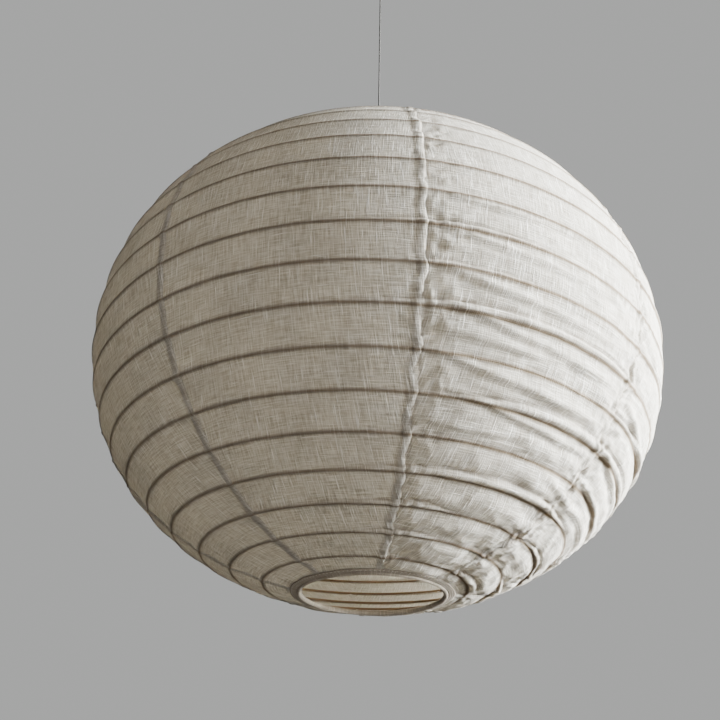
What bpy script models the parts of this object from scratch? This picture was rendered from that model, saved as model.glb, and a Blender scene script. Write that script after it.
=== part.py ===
"""Cloth accordion lantern: eight sewn gores over one spiral cane rib, hung on a line from a ceiling hook.

The origin is the middle of the ceiling plate's top face, +Z up.
Azimuth is counted from -Y (the front) towards +X.
"""
import math

import bmesh
import bpy
import numpy as np
from mathutils import Vector

MM = 0.001

# Lantern body
RADIUS = 300 * MM                # widest radius, on the cloth
EQUATOR_Z = -742 * MM            # widest level, below the ceiling face
RING_RADIUS = 70 * MM            # centre line of the top and bottom rings
CURVE_LINEAR = 1.3178            # tangent angle at arc s (in radii) is LINEAR * s + CUBIC * s^3
CURVE_CUBIC = -0.1116
GORES = 8
SEAM_AZIMUTH = math.radians(7.5)
STEPS_PER_GORE = 4
CLOTH = 0.6 * MM                 # thickness of the gore cloth
SAG = 2.5 * MM                   # how far the cloth dips in half way between two ribs
SEAM_GAP = 0.3 * MM
CLEAR = 0.3 * MM                 # gap kept between pieces that touch

# Spiral rib
TURNS = 22
RIB_AZIMUTH = math.radians(-59)  # where the rib crosses the widest level
RIB_CANE = 1.3 * MM              # radius of the cane
RIB_STOP = 0.29                  # the cane stops this many turns short of each ring

# Rings and their hems
RING_WIRE = 1.5 * MM
HEM_CLOTH = 0.7 * MM
HEM_EASE = 0.4 * MM              # gap between the hem's lips and the gore
HEM_LENGTH = 8 * MM              # how far the hem reaches along the gore, from the ring's centre
GORE_START = 2.5 * MM            # the gore's edge, from the ring's centre
GORE_STRAIGHT = 9 * MM           # the gore is straight up to here
ROW_MARGIN = 3 * MM              # least arc from there to the first rib row

# Hanger bar
BAR_WIRE = 1.5 * MM
BAR_LEG_X = 64.5 * MM
BAR_HUMP = 28 * MM               # top of the hump above the top ring
BAR_SHOULDER = 12 * MM
BAR_FOOT_X = 71.5 * MM

# S-hook, eyes, line
HOOK_WIRE = 1.5 * MM
HOOK_BEND = 6 * MM
EYE_WIRE = 1.2 * MM
EYE_BEND = 5 * MM
BARREL_RADIUS = 2.2 * MM
BARREL_LENGTH = 14 * MM
BARREL_BORE = 12 * MM
LINE_RADIUS = 1.0 * MM
LINE_POINTS = 66

# Ceiling fitting
PLATE_RADIUS = 22 * MM
PLATE_THICK = 4 * MM
CEILING_WIRE = 2.0 * MM
CEILING_BEND = 9 * MM
CEILING_FILLET = 4 * MM
CEILING_STRAIGHT = 12 * MM       # level where the hook's shank starts to bend
SCREW_X = 14 * MM
SCREW_RADIUS = 1.9 * MM
SCREW_HEAD = 4.0 * MM
SCREW_HEAD_THICK = 2.4 * MM
SCREW_TIP = 22 * MM
STUD_BORE = 2.5 * MM             # blind bore under the plate that the hook is riveted into

LINEN = (0.72, 0.68, 0.60)
LINEN_HEM = (0.60, 0.56, 0.49)
STEEL = (0.42, 0.40, 0.37)
CANE = (0.30, 0.21, 0.13)
ZINC = (0.62, 0.62, 0.60)
CORD = (0.06, 0.055, 0.05)
WHITE_PAINT = (0.82, 0.81, 0.78)


def clear_scene():
    for old in list(bpy.data.objects):
        bpy.data.objects.remove(old, do_unlink=True)


def finish_material(name, colour, roughness, metallic=0.0):
    """A plain Principled material."""
    found = bpy.data.materials.get(name)
    if found:
        return found
    made = bpy.data.materials.new(name)
    made.use_nodes = True
    shader = made.node_tree.nodes["Principled BSDF"]
    shader.inputs["Base Color"].default_value = (*colour, 1.0)
    shader.inputs["Roughness"].default_value = roughness
    shader.inputs["Metallic"].default_value = metallic
    return made


def cloth_material():
    return finish_material("linen", LINEN, 0.9)


def hem_material():
    return finish_material("linen_hem", LINEN_HEM, 0.9)


def steel_material():
    return finish_material("spring_steel", STEEL, 0.45, 1.0)


def cane_material():
    return finish_material("split_cane", CANE, 0.6)


def zinc_material():
    return finish_material("zinc", ZINC, 0.35, 1.0)


def cord_material():
    return finish_material("braided_cord", CORD, 0.8)


def paint_material():
    return finish_material("white_paint", WHITE_PAINT, 0.5)


def empty(name, location):
    """The pivot that a moving group is parented to."""
    made = bpy.data.objects.new(name, None)
    made.location = location
    bpy.context.collection.objects.link(made)
    return made


def link(name, data, material, parent=None):
    """One named object in the part's frame, kept in place under its parent."""
    made = bpy.data.objects.new(name, data)
    data.materials.append(material)
    bpy.context.collection.objects.link(made)
    if parent:
        made.parent = parent
        made.location = -parent_place(parent)
    return made


def parent_place(parent):
    """World position of a pivot and the pivots above it."""
    place = Vector((0, 0, 0))
    while parent:
        place += parent.location
        parent = parent.parent
    return place


def mesh_from(vertices, faces, name, sharp_degrees=40):
    """A mesh whose faces all point outwards."""
    mesh = bpy.data.meshes.new(name)
    mesh.from_pydata([tuple(v) for v in vertices], [], faces)
    work = bmesh.new()
    work.from_mesh(mesh)
    bmesh.ops.recalc_face_normals(work, faces=work.faces)
    work.to_mesh(mesh)
    work.free()
    mesh.shade_smooth()
    mesh.set_sharp_from_angle(angle=math.radians(sharp_degrees))
    return mesh


# ---------------------------------------------------------------- meridian

def meridian_table(step=0.002, reach=1.5):
    """Arc, radius and height of the meridian, walked out from the widest level (lengths in radii)."""
    arcs = np.arange(0, reach + step, step)
    angle = CURVE_LINEAR * arcs + CURVE_CUBIC * arcs ** 3
    middle = (angle[1:] + angle[:-1]) / 2
    radius = 1 - np.concatenate([[0], np.cumsum(np.sin(middle) * step)])
    height = np.concatenate([[0], np.cumsum(np.cos(middle) * step)])
    return arcs, radius, height


ARCS, RADII, HEIGHTS = meridian_table()
RIM_ARC = float(np.interp(-RING_RADIUS / RADIUS, -RADII, ARCS)) * RADIUS
PITCH = 2 * RIM_ARC / TURNS      # arc along the meridian from one turn to the next


def meridian(arc, inset=0.0):
    """Radius and height at an arc below (+) or above (-) the widest level, moved in along the normal."""
    across = abs(arc) / RADIUS
    radius = float(np.interp(across, ARCS, RADII)) * RADIUS
    height = float(np.interp(across, ARCS, HEIGHTS)) * RADIUS
    angle = CURVE_LINEAR * across + CURVE_CUBIC * across ** 3
    radius -= inset * math.cos(angle)
    height -= inset * math.sin(angle)
    return radius, EQUATOR_Z - math.copysign(height, arc)


def place(radius, height, azimuth):
    return (radius * math.sin(azimuth), -radius * math.cos(azimuth), height)


RIM_HEIGHT = EQUATOR_Z - meridian(RIM_ARC)[1]
TOP_RING_Z = EQUATOR_Z + RIM_HEIGHT
BOTTOM_RING_Z = EQUATOR_Z - RIM_HEIGHT


def hem_axes(side):
    """Ring centre, direction along the gore and outward normal at the bottom (+1) or top (-1) rim."""
    ring = Vector((RING_RADIUS, EQUATOR_Z - side * RIM_HEIGHT))
    inner = Vector(meridian(side * (RIM_ARC - GORE_STRAIGHT)))
    along = (inner - ring).normalized()
    normal = Vector((-along.y, along.x)) * -side
    return ring, along, normal


def rib_arc(azimuth, turn):
    """Arc of the rib at an azimuth, on a turn counted from the widest level."""
    return PITCH * ((azimuth - RIB_AZIMUTH) / (2 * math.pi) + turn)


# ---------------------------------------------------------------- shade

def gore_column(azimuth, rows):
    """Points down one column of a gore: (radius, height, normal) of the cloth's middle."""
    points = []
    for kind, side_or_row in rows:
        if kind == "hem":
            side, reach = side_or_row
            ring, along, normal = hem_axes(side)
            centre = ring + along * reach
            points.append((centre.x, centre.y, normal))
            continue
        limit = RIM_ARC - GORE_STRAIGHT - ROW_MARGIN
        arc = max(-limit, min(limit, rib_arc(azimuth, side_or_row)))
        nearest = abs(side_or_row - round(side_or_row))
        to_end = (limit + ROW_MARGIN - abs(arc)) / PITCH
        dip = SAG * min(1.0, 2 * nearest, 2 * to_end)
        radius, height = meridian(arc, dip)
        further = meridian(arc, dip + 1 * MM)
        normal = Vector((radius - further[0], height - further[1])).normalized()
        points.append((radius, height, normal))
    return points


def gore_rows(azimuths):
    """The rows of one gore, top to bottom: hem, rib rows and the rows between ribs, hem."""
    limit = RIM_ARC - GORE_STRAIGHT - ROW_MARGIN
    rows = [("hem", (-1, GORE_START)), ("hem", (-1, GORE_STRAIGHT))]
    for half in range(-2 * TURNS, 2 * TURNS + 1):
        arcs = [rib_arc(azimuth, half / 2) for azimuth in azimuths]
        if max(arcs) > -limit and min(arcs) < limit:
            rows.append(("rib", half / 2))
    return rows + [("hem", (1, GORE_STRAIGHT)), ("hem", (1, GORE_START))]


def gore(index, parent):
    """One gore: a thin closed sheet from the top hem to the bottom hem, bent over each turn of the rib."""
    width = 2 * math.pi / GORES
    start = SEAM_AZIMUTH + index * width
    if start > math.pi:
        start -= 2 * math.pi
    azimuths = [start + width * step / STEPS_PER_GORE for step in range(STEPS_PER_GORE + 1)]
    rows = gore_rows(azimuths)
    vertices = []
    for side in (0.5, -0.5):
        for number, azimuth in enumerate(azimuths):
            edge = {0: 0.5, STEPS_PER_GORE: -0.5}.get(number, 0.0)
            for radius, height, normal in gore_column(azimuth, rows):
                out = radius + normal.x * CLOTH * side
                up = height + normal.y * CLOTH * side
                vertices.append(place(out, up, azimuth + edge * SEAM_GAP / out))
    tall, wide = len(rows), STEPS_PER_GORE + 1
    under = tall * wide
    faces = []
    for column in range(wide - 1):
        for row in range(tall - 1):
            a, b = column * tall + row, (column + 1) * tall + row
            faces += [(a, b, b + 1, a + 1), (under + a, under + a + 1, under + b + 1, under + b)]
    for row in range(tall - 1):
        for column in (0, wide - 1):
            a = column * tall + row
            faces.append((a, a + 1, under + a + 1, under + a))
    for column in range(wide - 1):
        for row in (0, tall - 1):
            a, b = column * tall + row, (column + 1) * tall + row
            faces.append((a, b, under + b, under + a))
    name = f"gore_{index + 1}"
    return link(name, mesh_from(vertices, faces, name), cloth_material(), parent)


def wire(name, points, radius, material, parent=None, sides=6):
    """A round rod along a list of points."""
    curve = bpy.data.curves.new(name, "CURVE")
    curve.dimensions = "3D"
    curve.bevel_depth = radius
    curve.bevel_resolution = (sides - 4) // 2
    curve.use_fill_caps = True
    spline = curve.splines.new("POLY")
    spline.points.add(len(points) - 1)
    for point, where in zip(spline.points, points):
        point.co = (*where, 1.0)
    spline.use_smooth = True
    return link(name, curve, material, parent)


def spiral_rib(parent):
    """The spiral rib, just inside the cloth, with the gores' own azimuth steps."""
    step = 2 * math.pi / (GORES * STEPS_PER_GORE)
    inset = CLOTH / 2 + CLEAR + RIB_CANE
    limit = RIM_ARC - RIB_STOP * PITCH
    points = []
    for number in range(-TURNS * GORES * STEPS_PER_GORE, TURNS * GORES * STEPS_PER_GORE):
        azimuth = SEAM_AZIMUTH + number * step
        arc = rib_arc(azimuth, 0)
        if abs(arc) <= limit:
            points.append(place(*meridian(arc, inset), azimuth))
    return wire("spiral_rib", points, RIB_CANE, cane_material(), parent, sides=4)


def turned(name, outline, material, parent, steps=GORES * STEPS_PER_GORE):
    """A closed outline in (radius, height), turned once round the axis on the gores' azimuth steps."""
    count = len(outline)
    vertices, faces = [], []
    for step in range(steps):
        azimuth = SEAM_AZIMUTH + 2 * math.pi * step / steps
        vertices += [place(radius, height, azimuth) for radius, height in outline]
        after = (step + 1) % steps
        for corner in range(count):
            following = (corner + 1) % count
            faces.append((step * count + corner, step * count + following,
                          after * count + following, after * count + corner))
    return link(name, mesh_from(vertices, faces, name), material, parent)


def ring(name, side, parent):
    """A round wire ring in the rim."""
    sides = 6
    height = EQUATOR_Z - side * RIM_HEIGHT
    outline = []
    for corner in range(sides):
        turn = 2 * math.pi * corner / sides
        outline.append((RING_RADIUS + RING_WIRE * math.cos(turn), height + RING_WIRE * math.sin(turn)))
    return turned(name, outline, steel_material(), parent)


def hem_binding(name, side, parent):
    """A strip of cloth folded round the ring, its two lips on both faces of the gores."""
    centre, along, normal = hem_axes(side)
    around = RING_WIRE + CLEAR + HEM_CLOTH / 2
    lip = CLOTH / 2 + HEM_EASE + HEM_CLOTH / 2
    near = math.sqrt(around ** 2 - lip ** 2)
    turn_from = math.atan2(lip, near)
    path = [(HEM_LENGTH, lip)]
    arc_steps = 8
    for step in range(arc_steps + 1):
        turn = turn_from + (2 * math.pi - 2 * turn_from) * step / arc_steps
        path.append((around * math.cos(turn), around * math.sin(turn)))
    path.append((HEM_LENGTH, -lip))
    outline = offset_path(path, HEM_CLOTH / 2) + offset_path(path, -HEM_CLOTH / 2)[::-1]
    outline = [centre + along * t + normal * n for t, n in outline]
    return turned(name, [(p.x, p.y) for p in outline], hem_material(), parent)


def offset_path(path, distance):
    """The path moved sideways by a distance, with mitred corners."""
    moved = []
    for number, here in enumerate(path):
        before = Vector(path[max(0, number - 1)])
        after = Vector(path[min(len(path) - 1, number + 1)])
        here = Vector(here)
        first = (here - before).normalized() if number else (after - here).normalized()
        second = (after - here).normalized() if number < len(path) - 1 else first
        side_1, side_2 = Vector((-first.y, first.x)), Vector((-second.y, second.x))
        mitre = (side_1 + side_2).normalized()
        moved.append(tuple(here + mitre * distance / mitre.dot(side_1)))
    return moved


# ---------------------------------------------------------------- hanging parts

def arc_points(centre, radius, start, end, steps):
    """Points of an arc in a plane, angles in degrees."""
    turns = [math.radians(start + (end - start) * step / steps) for step in range(steps + 1)]
    return [(centre[0] + radius * math.cos(t), centre[1] + radius * math.sin(t)) for t in turns]


def hanger_bar(parent):
    """Bent wire across the top ring: a hump in the middle, and a foot under the ring at each end."""
    hump, knee, elbow, ankle = 7 * MM, 5 * MM, 5 * MM, 3 * MM
    foot_z = -(RING_WIRE + CLEAR + HEM_CLOTH + CLEAR + BAR_WIRE)
    half = arc_points((0, BAR_HUMP - hump), hump, 90, 0, 6)
    half += arc_points((hump + knee, BAR_SHOULDER + knee), knee, 180, 270, 4)
    half += arc_points((BAR_LEG_X - elbow, BAR_SHOULDER - elbow), elbow, 90, 0, 4)
    half += arc_points((BAR_LEG_X + ankle, foot_z + ankle), ankle, 180, 270, 4)
    half.append((BAR_FOOT_X, foot_z))
    path = [(-x, z) for x, z in half[:0:-1]] + half
    points = [(x, 0, TOP_RING_Z + z) for x, z in path]
    return wire("hanger_bar", points, BAR_WIRE, zinc_material(), parent, sides=8)


def s_hook_levels():
    """Heights of the S-hook's lower and upper bend centres, from the hump that rests in it."""
    saddle = TOP_RING_Z + BAR_HUMP - BAR_WIRE - CLEAR - HOOK_WIRE
    lower = saddle + HOOK_BEND
    return lower, lower + 2 * HOOK_BEND


def s_hook(parent):
    """Two open bends, one up and one down, in the plane across the hanger bar."""
    lower, upper = s_hook_levels()
    path = arc_points((0, upper), HOOK_BEND, -20, 270, 20)
    path += arc_points((0, lower), HOOK_BEND, 90, -200, 20)[1:]
    points = [(0, y, z) for y, z in path]
    return wire("s_hook", points, HOOK_WIRE, zinc_material(), parent, sides=8)


def line_eye(name, ring_z, up, parent):
    """A crimped line end: a ring and a barrel with a blind bore. up is +1 where the barrel is above."""
    bpy.ops.mesh.primitive_torus_add(
        major_segments=20, minor_segments=8, major_radius=EYE_BEND, minor_radius=EYE_WIRE,
        location=(0, 0, ring_z), rotation=(math.pi / 2, 0, 0))
    eye = bpy.context.object
    bpy.ops.object.transform_apply(location=True, rotation=True, scale=True)
    near = ring_z + up * EYE_BEND
    far = near + up * BARREL_LENGTH
    barrel = cylinder(BARREL_RADIUS, near, far, 12)
    bore = cylinder(LINE_RADIUS + CLEAR, far - up * BARREL_BORE, far + up * 2 * MM, 12)
    combine(eye, barrel, "UNION")
    combine(eye, bore, "DIFFERENCE")
    eye.name = name
    eye.data.name = name
    eye.data.materials.clear()
    eye.data.materials.append(zinc_material())
    eye.data.shade_smooth()
    eye.data.set_sharp_from_angle(angle=math.radians(40))
    eye.parent = parent
    eye.location = -parent_place(parent)
    return far - up * BARREL_BORE + up * CLEAR


def cylinder(radius, low, high, sides, x=0.0, y=0.0):
    """An upright cylinder between two heights."""
    bpy.ops.mesh.primitive_cylinder_add(
        vertices=sides, radius=radius, depth=abs(high - low), location=(x, y, (low + high) / 2))
    made = bpy.context.object
    bpy.ops.object.transform_apply(location=True, rotation=True, scale=True)
    return made


def combine(target, other, operation):
    """Applies a Boolean and removes the other body."""
    tool = target.modifiers.new(operation.lower(), "BOOLEAN")
    tool.operation = operation
    tool.object = other
    bpy.context.view_layer.objects.active = target
    bpy.ops.object.modifier_apply(modifier=tool.name)
    bpy.data.objects.remove(other, do_unlink=True)


def suspension_line(low, high, parent):
    points = [(0, 0, low + (high - low) * step / (LINE_POINTS - 1)) for step in range(LINE_POINTS)]
    return wire("suspension_line", points, LINE_RADIUS, cord_material(), parent, sides=8)


# ---------------------------------------------------------------- ceiling fitting

def hook_centre_z():
    """Height of the ceiling hook's bend centre: its bend meets the small bend under the shank."""
    reach = CEILING_BEND ** 2 + 2 * CEILING_BEND * CEILING_FILLET
    return -CEILING_STRAIGHT - math.sqrt(reach)


def ceiling_plate():
    """A round plate with two screw holes, and a blind bore below for the hook."""
    plate = cylinder(PLATE_RADIUS, -PLATE_THICK, 0, 40)
    for x in (-SCREW_X, SCREW_X):
        hole = cylinder(SCREW_RADIUS + CLEAR, -2 * PLATE_THICK, PLATE_THICK, 12, x)
        combine(plate, hole, "DIFFERENCE")
    bore = cylinder(CEILING_WIRE + CLEAR, -2 * PLATE_THICK, STUD_BORE - PLATE_THICK, 12)
    combine(plate, bore, "DIFFERENCE")
    plate.name = "ceiling_plate"
    plate.data.materials.clear()
    plate.data.materials.append(paint_material())
    plate.data.shade_smooth()
    plate.data.set_sharp_from_angle(angle=math.radians(40))
    return plate


def ceiling_hook():
    """A riveted hook: shank, small bend, then an open bend whose saddle is under the shank."""
    centre = hook_centre_z()
    meet = math.degrees(math.atan2(-CEILING_STRAIGHT - centre, -CEILING_FILLET))
    path = [(0, STUD_BORE - PLATE_THICK - CLEAR), (0, -PLATE_THICK)]
    path += arc_points((-CEILING_FILLET, -CEILING_STRAIGHT), CEILING_FILLET, 0, meet - 180, 5)
    path += arc_points((0, centre), CEILING_BEND, meet, 380, 22)[1:]
    points = [(0, y, z) for y, z in path]
    return wire("ceiling_hook", points, CEILING_WIRE, zinc_material(), sides=8)


def plate_screw(name, x):
    """A pan-head screw up through the plate."""
    head_top = -PLATE_THICK - CLEAR
    screw = cylinder(SCREW_HEAD, head_top - SCREW_HEAD_THICK, head_top, 16, x)
    edge = screw.modifiers.new("rounded_head", "BEVEL")
    edge.width = 0.8 * MM
    edge.segments = 2
    bpy.context.view_layer.objects.active = screw
    bpy.ops.object.modifier_apply(modifier=edge.name)
    combine(screw, cylinder(SCREW_RADIUS, head_top - 1 * MM, SCREW_TIP, 12, x), "UNION")
    screw.name = name
    screw.data.materials.clear()
    screw.data.materials.append(zinc_material())
    screw.data.shade_smooth()
    screw.data.set_sharp_from_angle(angle=math.radians(40))
    return screw


def build():
    clear_scene()
    ceiling_plate()
    ceiling_hook()
    plate_screw("plate_screw_left", -SCREW_X)
    plate_screw("plate_screw_right", SCREW_X)

    saddle = hook_centre_z() - CEILING_BEND
    line_pivot = empty("line_pivot", (0, 0, saddle))
    upper_ring_z = saddle + CEILING_WIRE + CLEAR + EYE_WIRE - EYE_BEND
    line_top = line_eye("upper_eye", upper_ring_z, -1, line_pivot)

    lower, upper = s_hook_levels()
    lower_ring_z = upper + HOOK_BEND - HOOK_WIRE - CLEAR - EYE_WIRE + EYE_BEND
    twist_pivot = empty("twist_pivot", Vector((0, 0, lower_ring_z)) - line_pivot.location)
    twist_pivot.parent = line_pivot
    line_bottom = line_eye("lower_eye", lower_ring_z, 1, twist_pivot)
    suspension_line(line_bottom, line_top, line_pivot)
    s_hook(twist_pivot)

    shade_pivot = empty("shade_pivot", Vector((0, 0, TOP_RING_Z + BAR_HUMP)) - parent_place(twist_pivot))
    shade_pivot.parent = twist_pivot
    hanger_bar(shade_pivot)
    ring("top_ring", -1, shade_pivot)
    hem_binding("top_binding", -1, shade_pivot)
    spiral_rib(shade_pivot)
    for index in range(GORES):
        gore(index, shade_pivot)

    rim_pivot = empty("rim_pivot", Vector((0, 0, BOTTOM_RING_Z)) - parent_place(shade_pivot))
    rim_pivot.parent = shade_pivot
    ring("bottom_ring", 1, rim_pivot)
    hem_binding("bottom_binding", 1, rim_pivot)


build()
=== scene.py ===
"""Looks of the cloth accordion lantern: sewn linen gores over one spiral cane, hems and hanging parts.

Lengths are in metres, +Z up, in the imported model's frame. Azimuth is counted from -Y (the front)
towards +X, and arc runs down the meridian from the widest level.
"""
import math

import bmesh
import bpy
import numpy as np
from mathutils import Matrix, Vector


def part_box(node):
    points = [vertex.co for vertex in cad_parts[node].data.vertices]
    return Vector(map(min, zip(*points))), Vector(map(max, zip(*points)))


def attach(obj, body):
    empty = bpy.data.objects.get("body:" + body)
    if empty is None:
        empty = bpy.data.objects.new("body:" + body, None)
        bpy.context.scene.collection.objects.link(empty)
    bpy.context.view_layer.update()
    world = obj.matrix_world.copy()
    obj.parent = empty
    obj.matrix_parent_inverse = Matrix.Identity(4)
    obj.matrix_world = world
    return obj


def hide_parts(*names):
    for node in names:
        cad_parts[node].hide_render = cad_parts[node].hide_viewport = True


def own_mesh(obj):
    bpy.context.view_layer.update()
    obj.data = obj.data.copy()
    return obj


MM = 0.001
FULL_TURN = 2 * math.pi

# Skin: the curve, ribs and gores of the design
RADIUS = 300 * MM                # widest radius, on the cloth
CURVE_LINEAR = 1.3178            # tangent angle at arc s (in radii) is LINEAR * s + CUBIC * s^3
CURVE_CUBIC = -0.1116
GORES = 8
SEAM_AZIMUTH = math.radians(7.5)
TURNS = 22
RIB_AZIMUTH = math.radians(-59)  # where the rib crosses the widest level
CANE_RADIUS = 1.3 * MM
CANE_INSET = 1.9 * MM            # centre of the cane, in from the nominal skin
RIB_STOP = 0.29                  # the cane stops this many turns short of each ring
RING_RADIUS = 70 * MM
RING_WIRE = 1.5 * MM

# Cloth
LINEN_THICK = 0.35 * MM
ALLOWANCE = 6 * MM               # width of the seam allowances, both pressed to one side
LAYER = 0.4 * MM                 # height of one folded layer
CLOTH_START = 2.5 * MM           # the cloth's edge, from the ring's centre

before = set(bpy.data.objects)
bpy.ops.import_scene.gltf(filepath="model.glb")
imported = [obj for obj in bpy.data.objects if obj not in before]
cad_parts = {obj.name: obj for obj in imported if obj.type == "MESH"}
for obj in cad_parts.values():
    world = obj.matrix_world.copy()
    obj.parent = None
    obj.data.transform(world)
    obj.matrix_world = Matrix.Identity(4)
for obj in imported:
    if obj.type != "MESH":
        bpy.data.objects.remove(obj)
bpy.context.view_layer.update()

RING_TOP = sum(corner.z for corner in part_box("top_ring")) / 2
RING_BOTTOM = sum(corner.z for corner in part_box("bottom_ring")) / 2
EQUATOR_Z = (RING_TOP + RING_BOTTOM) / 2


# ---------------------------------------------------------------- materials

def linear(code):
    """An sRGB hex colour as linear RGBA."""
    parts = [int(code[i:i + 2], 16) / 255 for i in (1, 3, 5)]
    return tuple(c / 12.92 if c <= 0.04045 else ((c + 0.055) / 1.055) ** 2.4 for c in parts) + (1.0,)


def add(tree, kind, inputs=None, **settings):
    """One node, with its settings and with what each input holds or is linked to."""
    made = tree.nodes.new(kind)
    for name, value in settings.items():
        setattr(made, name, value)
    for name, value in (inputs or {}).items():
        if isinstance(value, bpy.types.NodeSocket):
            tree.links.new(value, made.inputs[name])
        else:
            made.inputs[name].default_value = value
    return made


def material(name):
    """An empty node material and its output."""
    made = bpy.data.materials.new(name)
    made.use_nodes = True
    made.node_tree.nodes.clear()
    return made, made.node_tree, add(made.node_tree, "ShaderNodeOutputMaterial")


def maths(tree, operation, *values):
    return add(tree, "ShaderNodeMath", dict(enumerate(values)), operation=operation).outputs[0]


def blend(tree, factor, low, high):
    """A tone between two, each an sRGB hex colour or a socket."""
    low, high = (linear(tone) if isinstance(tone, str) else tone for tone in (low, high))
    return add(tree, "ShaderNodeMix", {"Factor": factor, "A": low, "B": high},
               data_type="RGBA").outputs["Result"]


def relief(tree, height, strength, distance):
    return add(tree, "ShaderNodeBump", {
        "Height": height, "Strength": strength, "Distance": distance}).outputs[0]


def surfaced(made, tree, output, inputs):
    """The material, with one principled shader on its surface."""
    shader = add(tree, "ShaderNodeBsdfPrincipled", inputs)
    tree.links.new(shader.outputs[0], output.inputs[0])
    return made


def slubby_linen(name, yarn, shade, slub, see_through):
    """Undyed slub linen, plain weave: uneven yarns both ways, now and then a thick soft slub.

    A thick yarn lets less light through and throws more back: light from the front, dark against the light.
    """
    made, tree, output = material(name)
    flat = add(tree, "ShaderNodeUVMap", uv_map="flat").outputs["UV"]
    yarn_wide, yarn_long = 1.1 * MM, 18 * MM        # coarser than real yarns, so that they show
    slub_wide, slub_long = 1.5 * MM, 30 * MM
    layers = {}
    for key, size, seed in (("warp", (yarn_wide, yarn_long), 3.0), ("weft", (yarn_long, yarn_wide), 11.0),
                            ("warp_slub", (slub_wide, slub_long), 23.0),
                            ("weft_slub", (slub_long, slub_wide), 37.0)):
        spread = add(tree, "ShaderNodeMapping", {
            "Vector": flat, "Location": (seed, seed, 0), "Scale": (1 / size[0], 1 / size[1], 1)})
        layers[key] = add(tree, "ShaderNodeTexNoise", {
            "Vector": spread.outputs[0], "Scale": 1.0, "Detail": 2.0, "Roughness": 0.6},
            noise_dimensions="2D").outputs[0]
    for key, rare in (("warp_slub", 0.61), ("weft_slub", 0.66)):
        layers[key] = add(tree, "ShaderNodeMapRange", {
            "Value": layers[key], "From Min": rare, "From Max": rare + 0.1}, clamp=True).outputs[0]
    weave = maths(tree, "ADD", layers["warp"], layers["weft"])
    slubs = maths(tree, "MAXIMUM", layers["warp_slub"], layers["weft_slub"])
    patches = add(tree, "ShaderNodeTexNoise", {
        "Vector": flat, "Scale": 1 / (45 * MM), "Detail": 3.0}, noise_dimensions="2D").outputs[0]
    density = add(tree, "ShaderNodeMapRange", {
        "Value": weave, "From Min": 0.6, "From Max": 1.35}, clamp=True).outputs[0]
    tone = blend(tree, slubs, blend(tree, density, shade, yarn), slub)
    # Painted shade: the tone goes brown where the rib attribute is high. This stands for the cane's shadow
    # seen through the cloth along each rib, the shade in the sharp creases, along the slack seams and over
    # the seam allowance strips.
    rib = add(tree, "ShaderNodeAttribute", attribute_name="rib").outputs["Fac"]
    tone = blend(tree, rib, tone, "#8a7860")
    soft = add(tree, "ShaderNodeMapRange", {
        "Value": patches, "From Min": 0.3, "From Max": 0.7, "To Min": 0.94, "To Max": 1.04}).outputs[0]
    tone = add(tree, "ShaderNodeVectorMath", {0: tone, "Scale": soft}, operation="SCALE").outputs[0]
    height = maths(tree, "ADD", weave, slubs)
    bump = relief(tree, height, 0.9, 0.5 * MM)
    front = add(tree, "ShaderNodeBsdfPrincipled", {
        "Base Color": tone, "Roughness": 0.88, "IOR": 1.5, "Specular IOR Level": 0.2, "Normal": bump,
        "Sheen Weight": 0.08, "Sheen Roughness": 0.6})
    through = add(tree, "ShaderNodeBsdfTranslucent", {"Color": tone, "Normal": bump})
    share = add(tree, "ShaderNodeMapRange", {
        "Value": height, "From Min": 0.7, "From Max": 2.2,
        "To Min": see_through, "To Max": see_through * 0.4}, clamp=True).outputs[0]
    mixed = add(tree, "ShaderNodeMixShader", {0: share, 1: front.outputs[0], 2: through.outputs[0]})
    tree.links.new(mixed.outputs[0], output.inputs[0])
    return made


def plain(name, base, roughness, metallic=0.0, mottle=0.05, grain=3 * MM, bump=0.1 * MM):
    """A plain surface with a soft mottle in its tone, its gloss and its relief."""
    made, tree, output = material(name)
    place = add(tree, "ShaderNodeTexCoord").outputs["Object"]
    noise = add(tree, "ShaderNodeTexNoise", {
        "Vector": place, "Scale": 1 / grain, "Detail": 4.0}).outputs[0]
    scale = add(tree, "ShaderNodeMapRange", {
        "Value": noise, "From Min": 0.3, "From Max": 0.7,
        "To Min": 1 - mottle, "To Max": 1 + mottle}).outputs[0]
    tone = add(tree, "ShaderNodeVectorMath", {
        0: linear(base)[:3], "Scale": scale}, operation="SCALE").outputs[0]
    gloss = add(tree, "ShaderNodeMapRange", {
        "Value": noise, "From Min": 0.3, "From Max": 0.7,
        "To Min": roughness * 0.85, "To Max": min(1.0, roughness * 1.15)}).outputs[0]
    return surfaced(made, tree, output, {
        "Base Color": tone, "Roughness": gloss, "Metallic": metallic,
        "Normal": relief(tree, noise, 0.3, bump)})


def round_the_axis(tree):
    """Angle round the upright axis, height and distance from the axis, as sockets."""
    place = add(tree, "ShaderNodeTexCoord").outputs["Object"]
    place = add(tree, "ShaderNodeSeparateXYZ", {0: place}).outputs
    angle = maths(tree, "ARCTAN2", place["Y"], place["X"])
    across = add(tree, "ShaderNodeCombineXYZ", {0: place["X"], 1: place["Y"]}).outputs[0]
    reach = add(tree, "ShaderNodeVectorMath", {0: across}, operation="LENGTH").outputs["Value"]
    return angle, place["Z"], reach


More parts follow.
